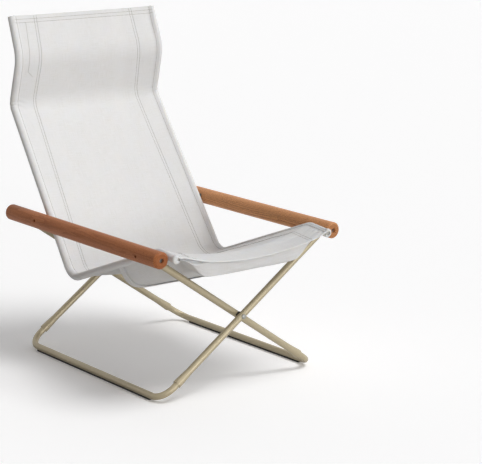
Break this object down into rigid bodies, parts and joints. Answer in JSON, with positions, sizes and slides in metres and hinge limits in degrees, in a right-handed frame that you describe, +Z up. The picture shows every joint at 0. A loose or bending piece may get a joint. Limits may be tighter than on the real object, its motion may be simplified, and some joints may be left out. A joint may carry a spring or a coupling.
{
  "type": "folding lounge chair",
  "caption": "Side-folding camping lounge chair with a high sling seat of canvas, round wooden arms and crossed tube legs on U-shaped floor runners.",
  "frame": {"origin": "on the floor, under the middle of the chair's overall width and depth, chair open", "axes": "+Z up, -Y to the front (the sitter's feet), +X to the sitter's left, which is the right-hand side seen from the front"},
  "size_m": [0.615, 0.8207, 0.9432],
  "materials": {
    "beech": "oiled beech",
    "champagne_paint": "satin champagne powder coat on steel tube",
    "steel": "zinc-plated steel",
    "canvas": "plain-woven heavy cotton canvas",
    "plastic": "moulded nylon",
    "rubber": "matt rubber"
  },
  "bodies": {
    "right_side": {"right_arm": "beech", "right_seat_rail": "champagne_paint", "right_back_rail": "champagne_paint", "right_rail_screw": "steel", "right_rail_plugs": "plastic", "right_arm_screws": "steel", "right_arm_spacers": "plastic", "right_hinge_pins": "steel", "right_canvas_sleeve": "canvas", "seat_back_canvas": "canvas", "under_seat_sling": "canvas"},
    "inner_legs": {"inner_front_leg": "champagne_paint", "inner_rear_leg": "champagne_paint", "inner_leg_plugs": "plastic", "inner_runner": "champagne_paint", "inner_floor_strip": "rubber", "crossing_bolts": "steel", "crossing_nuts": "steel", "crossing_washers": "plastic"},
    "outer_legs": {"outer_front_leg": "champagne_paint", "outer_rear_leg": "champagne_paint", "outer_leg_plugs": "plastic", "outer_runner": "champagne_paint", "outer_floor_strip": "rubber"},
    "left_side": {"left_arm": "beech", "left_seat_rail": "champagne_paint", "left_back_rail": "champagne_paint", "left_rail_screw": "steel", "left_rail_plugs": "plastic", "left_arm_screws": "steel", "left_arm_spacers": "plastic", "left_hinge_pins": "steel", "left_canvas_sleeve": "canvas"}
  },
  "joints": [
    {"name": "right_arm_hinge", "type": "hinge", "parent": "right_side", "child": "inner_legs", "pos_m": [-0.285, -0.02238, 0.396], "axis": [0, 1, 0], "range_deg": [0, 45], "deforming": ["seat_back_canvas", "under_seat_sling"]},
    {"name": "leg_crossing_hinge", "type": "hinge", "parent": "inner_legs", "child": "outer_legs", "pos_m": [0, -0.02238, 0.19556], "axis": [0, 1, 0], "range_deg": [-90, 0]},
    {"name": "left_arm_hinge", "type": "hinge", "parent": "outer_legs", "child": "left_side", "pos_m": [0.285, -0.02238, 0.396], "axis": [0, 1, 0], "range_deg": [0, 45]}
  ],
  "couplings": [
    {"joint": "leg_crossing_hinge", "follows": "right_arm_hinge", "ratio": -2},
    {"joint": "left_arm_hinge", "follows": "right_arm_hinge", "ratio": 1}
  ]
}
